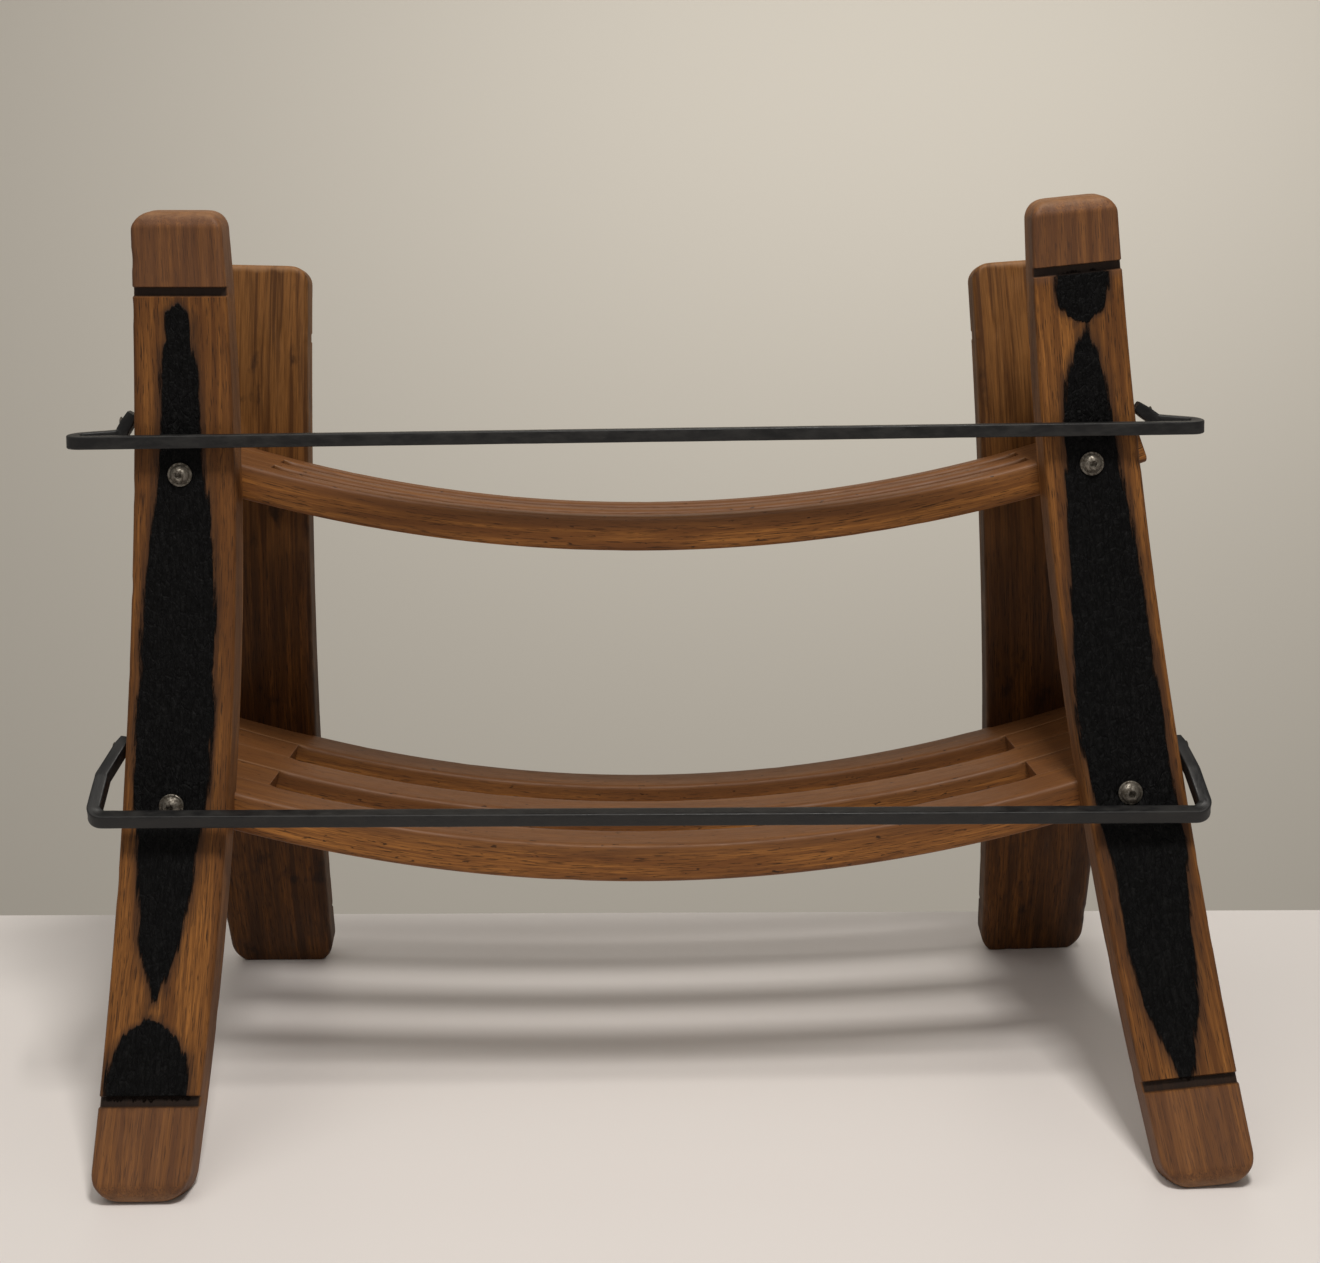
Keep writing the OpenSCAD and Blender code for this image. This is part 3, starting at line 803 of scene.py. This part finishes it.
def wood_colour(tree, grain, palette, ring_scale):
    """(colour, fibre pattern) of oak: streaks along the grain, slow tone changes, fine fibres and pores."""
    streaks = tree.noise(grain, (ring_scale, ring_scale * 0.5, 4.5), 5, 0.6, 0.6)
    tone = tree.noise(grain, (22, 22, 6), 3)
    fibres = tree.noise(grain, (1100, 1100, 26), 3, 0.6)
    pores = tree.noise(grain, (1500, 1500, 70), 2, 0.5)
    colour = tree.blend(tree.between(streaks, 0.36, 0.64), palette.dark, palette.light)
    lines = tree.noise(grain, (430, 430, 13), 4, 0.7, 0.4)
    colour = tree.blend(tree.between(tone, 0.34, 0.6, 0.6, 0), colour, palette.dark)
    colour = tree.blend(tree.between(lines, 0.4, 0.58, 0.62, 0), colour, palette.dark)
    colour = tree.blend(tree.between(fibres, 0.38, 0.58, 0.45, 0), colour, palette.dark)
    colour = tree.blend(tree.between(pores, 0.57, 0.66, 0, 0.8), colour, palette.pore)
    return colour, tree.blend(0.5, fibres, pores)


def finish_wood(tree, colour, fibres, roughness, relief=0.00025):
    tree.put(tree.shader.inputs["Base Color"], colour)
    tree.put(tree.shader.inputs["Roughness"], roughness)
    tree.shader.inputs["Specular IOR Level"].default_value = 0.22
    return tree.bump(fibres, relief, 0.7)


def front_stave_oak():
    """Planed golden oak with a burnt patch, crozes darkened inside, paler rims (partly wear, partly a
    painted highlight) and reddish ends.
    """
    tree = Tree("front_stave_oak")
    grain = tree.attribute("grain", "Vector")
    colour, fibres = wood_colour(tree, grain, GOLDEN, 120)
    red = tree.blend(tree.noise(grain, (160, 90, 7), 5, 0.65), RED_DARK, RED_LIGHT)
    colour = tree.blend(tree.math("MULTIPLY", tree.attribute("chime"), 0.5), colour, red)
    # Paler rims: partly wear, partly a painted highlight where the bevelled ends and rounded edges catch the
    # light
    wear_and_highlight = tree.noise(grain, (70, 200, 45), 6, 0.75, 1.5)
    rim = tree.between(tree.math("MULTIPLY", tree.attribute("rim"), wear_and_highlight), 0.2, 0.6, 0, 0.5)
    colour = tree.blend(rim, colour, GOLDEN.worn)
    ragged = tree.noise(grain, (240, 240, 22), 5, 0.65)
    char = tree.math("ADD", tree.attribute("char"), tree.between(ragged, 0.25, 0.75, -2.6, 2.6))
    scorched = tree.between(char, -9, 1.5, 0, 0.85)
    burnt_mask = tree.between(char, -0.9, 0.9)
    colour = tree.blend(scorched, colour, SCORCH)
    cracks = tree.cells(grain, (230, 230, 75))
    ash = tree.noise(grain, (420, 420, 120), 5, 0.7)
    black = tree.blend(tree.between(ash, 0.45, 0.75), CHAR_BLACK, CHAR_GREY)
    colour = tree.blend(burnt_mask, colour, black)
    # Darker inside the croze grooves
    colour = tree.blend(tree.math("MULTIPLY", tree.attribute("croze"), 0.93), colour, CROZE_DARK)
    roughness = tree.blend(burnt_mask, tree.between(fibres, 0.3, 0.7, 0.5, 0.68), (0.6, 0.6, 0.6))
    gloss = tree.between(burnt_mask, 0, 1, 0.22, 0.09)
    normal = finish_wood(tree, colour, fibres, roughness)
    tree.put(tree.shader.inputs["Specular IOR Level"], gloss)
    ripples = tree.noise(grain, (240, 240, 150), 4, 0.6, 0.8)
    flakes = tree.math("MULTIPLY", tree.between(cracks, 0.0, 0.1), 0.4)
    scale = tree.math("ADD", tree.math("ADD", flakes, ash), tree.math("MULTIPLY", ripples, 2.5))
    scale = tree.math("MULTIPLY", burnt_mask, scale)
    tree.put(tree.shader.inputs["Normal"], tree.bump(scale, 0.0013, 0.9, normal))
    return tree.material


def rear_stave_oak():
    """Darker, streaky weathered oak with soft stains; painted light on the upper part, painted shade below
    the upper shelf.
    """
    tree = Tree("rear_stave_oak")
    grain = tree.attribute("grain", "Vector")
    colour, fibres = wood_colour(tree, grain, UMBER, 150)
    # Painted light: the upper part turns lighter, so that the wood below the upper shelf stays darker as
    # painted shade
    streaks = tree.noise(grain, (230, 120, 6), 6, 0.7, 0.5)
    upper = tree.blend(tree.between(streaks, 0.38, 0.6), *UMBER_LIT_TOP)
    upper = tree.blend(tree.between(fibres, 0.4, 0.6, 0.4, 0), upper, UMBER_LIT_TOP[0])
    colour = tree.blend(tree.math("MULTIPLY", tree.attribute("upper"), 0.7), colour, upper)
    stain = tree.noise(grain, (38, 38, 20), 4, 0.6)
    colour = tree.blend(tree.between(stain, 0.58, 0.72, 0, 0.8), colour, UMBER.pore)
    # Paler rims: wear, and partly a painted highlight on the rounded ends and edges
    wear_and_highlight = tree.noise(grain, (90, 90, 40), 4)
    rim = tree.between(tree.math("MULTIPLY", tree.attribute("rim"), wear_and_highlight), 0.2, 0.5, 0, 0.7)
    colour = tree.blend(rim, colour, UMBER.worn)
    # Darker inside the croze grooves
    colour = tree.blend(tree.math("MULTIPLY", tree.attribute("croze"), 0.93), colour, CROZE_DARK)
    normal = finish_wood(tree, colour, fibres, tree.between(fibres, 0.3, 0.7, 0.5, 0.7))
    tree.put(tree.shader.inputs["Normal"], normal)
    return tree.material


def shelf_oak(name, palette, top):
    """Sanded oak: orange sides with small dark specks, paler pinkish top."""
    tree = Tree(name)
    grain = tree.attribute("grain", "Vector")
    colour, fibres = wood_colour(tree, grain, palette, 170)
    upper = tree.blend(tree.noise(grain, (380, 380, 12), 4, 0.7), palette.dark, top)
    colour = tree.blend(tree.math("MULTIPLY", tree.attribute("top"), 0.75), colour, upper)
    specks = tree.noise(grain, (330, 330, 120), 2, 0.5)
    colour = tree.blend(tree.between(specks, 0.68, 0.74, 0, 0.8), colour, palette.pore)
    colour = tree.blend(tree.between(tree.attribute("rim"), 0.4, 1, 0, 0.25), colour, palette.worn)
    colour = tree.blend(tree.math("MULTIPLY", tree.attribute("end_grain"), 0.6), colour, palette.dark)
    normal = finish_wood(tree, colour, fibres, tree.between(fibres, 0.3, 0.7, 0.42, 0.62))
    tree.put(tree.shader.inputs["Normal"], normal)
    return tree.material


def black_iron():
    """Blackened bar, slightly blotchy, with rubbed patches."""
    tree = Tree("black_iron")
    grain = tree.attribute("grain", "Vector")
    blotch = tree.noise(grain, (140, 140, 60), 5, 0.65)
    fine = tree.noise(grain, (900, 900, 500), 3, 0.6)
    colour = tree.blend(tree.between(blotch, 0.35, 0.7), IRON_DARK, IRON_LIGHT)
    tree.shader.inputs["Specular IOR Level"].default_value = 0.35
    tree.put(tree.shader.inputs["Base Color"], colour)
    tree.put(tree.shader.inputs["Roughness"], tree.between(blotch, 0.3, 0.7, 0.38, 0.58))
    tree.put(tree.shader.inputs["Normal"], tree.bump(tree.math("ADD", blotch, fine), 0.0003, 0.5))
    return tree.material


def fastener_steel():
    """Dull zinc-plated steel with dirt and a few rubbed spots."""
    tree = Tree("fastener_steel")
    grain = tree.attribute("grain", "Vector")
    dirt = tree.noise(grain, (420, 420, 420), 5, 0.7)
    fine = tree.noise(grain, (1600, 1600, 1600), 2, 0.5)
    colour = tree.blend(tree.between(dirt, 0.4, 0.62), STEEL_DIRT, STEEL_BARE)
    tree.put(tree.shader.inputs["Base Color"], colour)
    tree.put(tree.shader.inputs["Metallic"], tree.between(dirt, 0.38, 0.6, 0.35, 0.95))
    tree.put(tree.shader.inputs["Roughness"], tree.between(dirt, 0.4, 0.65, 0.62, 0.4))
    tree.put(tree.shader.inputs["Normal"], tree.bump(tree.math("ADD", dirt, fine), 0.0002, 0.4))
    return tree.material


# ---------------------------------------------------------------- stage

def plain(name, colour, roughness):
    tree = Tree(name)
    tree.put(tree.shader.inputs["Base Color"], colour)
    tree.shader.inputs["Roughness"].default_value = roughness
    return tree.material


def slab(name, low, high, material, turn=0.0):
    """A box on the stage between two corners, in metres, turned about the upright by some degrees."""
    mesh = bpy.data.meshes.new(name)
    shape = bmesh.new()
    bmesh.ops.create_cube(shape, size=1)
    size, middle = Vector(high) - Vector(low), (Vector(high) + Vector(low)) / 2
    shape.transform(Matrix.Rotation(math.radians(turn), 4, "Z") @ Matrix.LocRotScale(middle, None, size))
    shape.to_mesh(mesh)
    shape.free()
    mesh.materials.append(material)
    box = bpy.data.objects.new(name, mesh)
    bpy.context.scene.collection.objects.link(box)


def soft_light(name, place, aim, size, watts, colour):
    lamp = bpy.data.lights.new(name, "AREA")
    lamp.shape = "RECTANGLE"
    lamp.size, lamp.size_y = size
    lamp.energy = watts
    lamp.color = colour
    holder = bpy.data.objects.new(name, lamp)
    holder.location = place
    holder.rotation_euler = (Vector(aim) - Vector(place)).to_track_quat("-Z", "Y").to_euler()
    bpy.context.scene.collection.objects.link(holder)


TABLE_WHITE = (0.74, 0.705, 0.69)
WALL_WHITE = (0.72, 0.685, 0.62)
TABLE_BOX = ((-3.5, -3.2, -0.03), (3.5, 0.265, 0))
TABLE_TURN = -1.4
WALL_BOX = ((-5, 2.6, -1.5), (5, 2.65, 3.5))
WARM_LIGHT = (1.0, 0.965, 0.91)
ROOM_COLOUR = (1.0, 0.95, 0.88, 1)
ROOM_STRENGTH = 0.28

# Name, place (m), what it is aimed at (m), size (m), watts
LIGHTS = (
    ("key_light", (0.27, -0.95, 2.3), (0, 0, 0.2), (0.4, 0.4), 39),
    ("fill_light", (-0.9, -0.8, 2.2), (0, 0, 0.2), (1.6, 1.6), 11),
    ("wall_light", (0.9, 0.9, 1.5), (0.8, 2.6, 0.5), (3, 0.8), 19),
)


def make_stage():
    slab("table", *TABLE_BOX, plain("table_white", TABLE_WHITE, 0.45), TABLE_TURN)
    slab("wall", *WALL_BOX, plain("wall_white", WALL_WHITE, 0.9))
    world = bpy.data.worlds.new("room")
    world.use_nodes = True
    background = world.node_tree.nodes["Background"]
    background.inputs["Color"].default_value = ROOM_COLOUR
    background.inputs["Strength"].default_value = ROOM_STRENGTH
    bpy.context.scene.world = world
    for name, place, aim, size, watts in LIGHTS:
        soft_light(name, place, aim, size, watts, WARM_LIGHT)


# Where the camera stands (m), how it is turned (degrees) and its lens
CAMERA_PLACE = (0.0009, -1.1675, 0.6256)
CAMERA_PITCH = -3.97
CAMERA_YAW = -0.815
CAMERA_ROLL = -0.48
CAMERA_LENS = 40.59
CAMERA_SENSOR = 36
CAMERA_SHIFT_Y = -0.189


def make_camera():
    data = bpy.data.cameras.new("camera")
    data.lens, data.sensor_width, data.shift_y = CAMERA_LENS, CAMERA_SENSOR, CAMERA_SHIFT_Y
    camera = bpy.data.objects.new("camera", data)
    level = Matrix.Rotation(math.radians(CAMERA_YAW), 4, "Z") @ Matrix.Rotation(
        math.radians(90 + CAMERA_PITCH), 4, "X")
    turned_by = level @ Matrix.Rotation(math.radians(CAMERA_ROLL), 4, "Z")
    camera.matrix_world = Matrix.Translation(CAMERA_PLACE) @ turned_by
    bpy.context.scene.collection.objects.link(camera)
    bpy.context.scene.camera = camera


# ---------------------------------------------------------------- the scene

def make_rack():
    stave_materials = {"front_stave_oak": front_stave_oak(), "rear_stave_oak": rear_stave_oak()}
    for stave in STAVES:
        make_stave(stave, stave_materials[stave.slot])
    slat_material = shelf_oak("slat_oak", ORANGE, PINK_TOP)
    spacer_material = shelf_oak("spacer_oak", ORANGE, PINK_TOP)
    seed = 10
    for shelf in ("upper", "lower"):
        for place, seams in (("front", (0, 1)), ("middle", (1, 1)), ("rear", (1, 0))):
            make_slat(f"{shelf}_{place}_slat", seams, slat_material, seed)
            seed += 1
        for place in ("left_front", "left_rear", "right_front", "right_rear"):
            make_spacer(f"{shelf}_{place}_spacer", spacer_material, seed)
            seed += 1
    iron = black_iron()
    for seed, node in enumerate(RAIL_PATHS):
        make_rail(node, iron, seed)
    make_fasteners(fastener_steel())


make_rack()
make_stage()
make_camera()
bpy.context.scene.view_settings.view_transform = "Standard"
